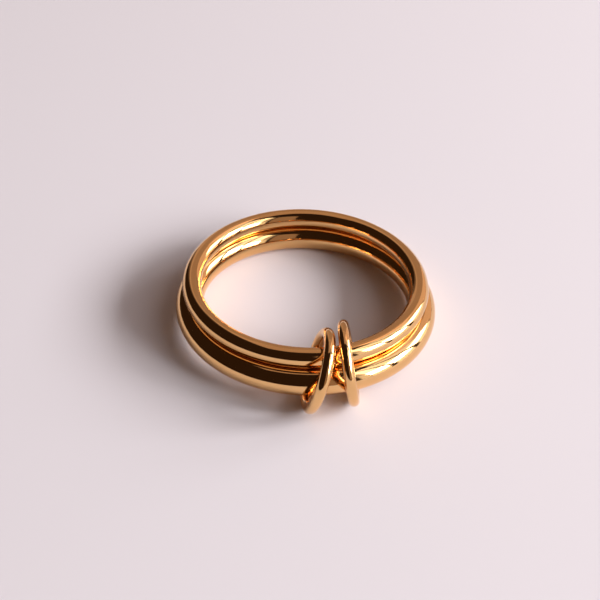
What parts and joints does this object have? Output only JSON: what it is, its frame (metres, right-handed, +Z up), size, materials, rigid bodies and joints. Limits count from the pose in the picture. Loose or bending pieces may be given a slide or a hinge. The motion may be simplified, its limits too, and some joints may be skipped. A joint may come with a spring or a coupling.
{
  "type": "interlocking double finger ring",
  "caption": "Finger ring of polished round-wire bands stacked one on the other and held together by loose round-wire links that lean like a capital A.",
  "frame": {"origin": "middle of the bounding box, at the surface that the ring lies on", "axes": "+Z up from that surface, +X to the right of someone facing the links, -Y towards them"},
  "size_m": [0.0218, 0.024, 0.0067],
  "materials": {
    "band_gold": "polished gold plating",
    "link_gold": "polished gold plating"
  },
  "bodies": {
    "root": {"upper_band": "band_gold", "lower_band": "band_gold", "left_link": "link_gold", "right_link": "link_gold"}
  },
  "joints": []
}
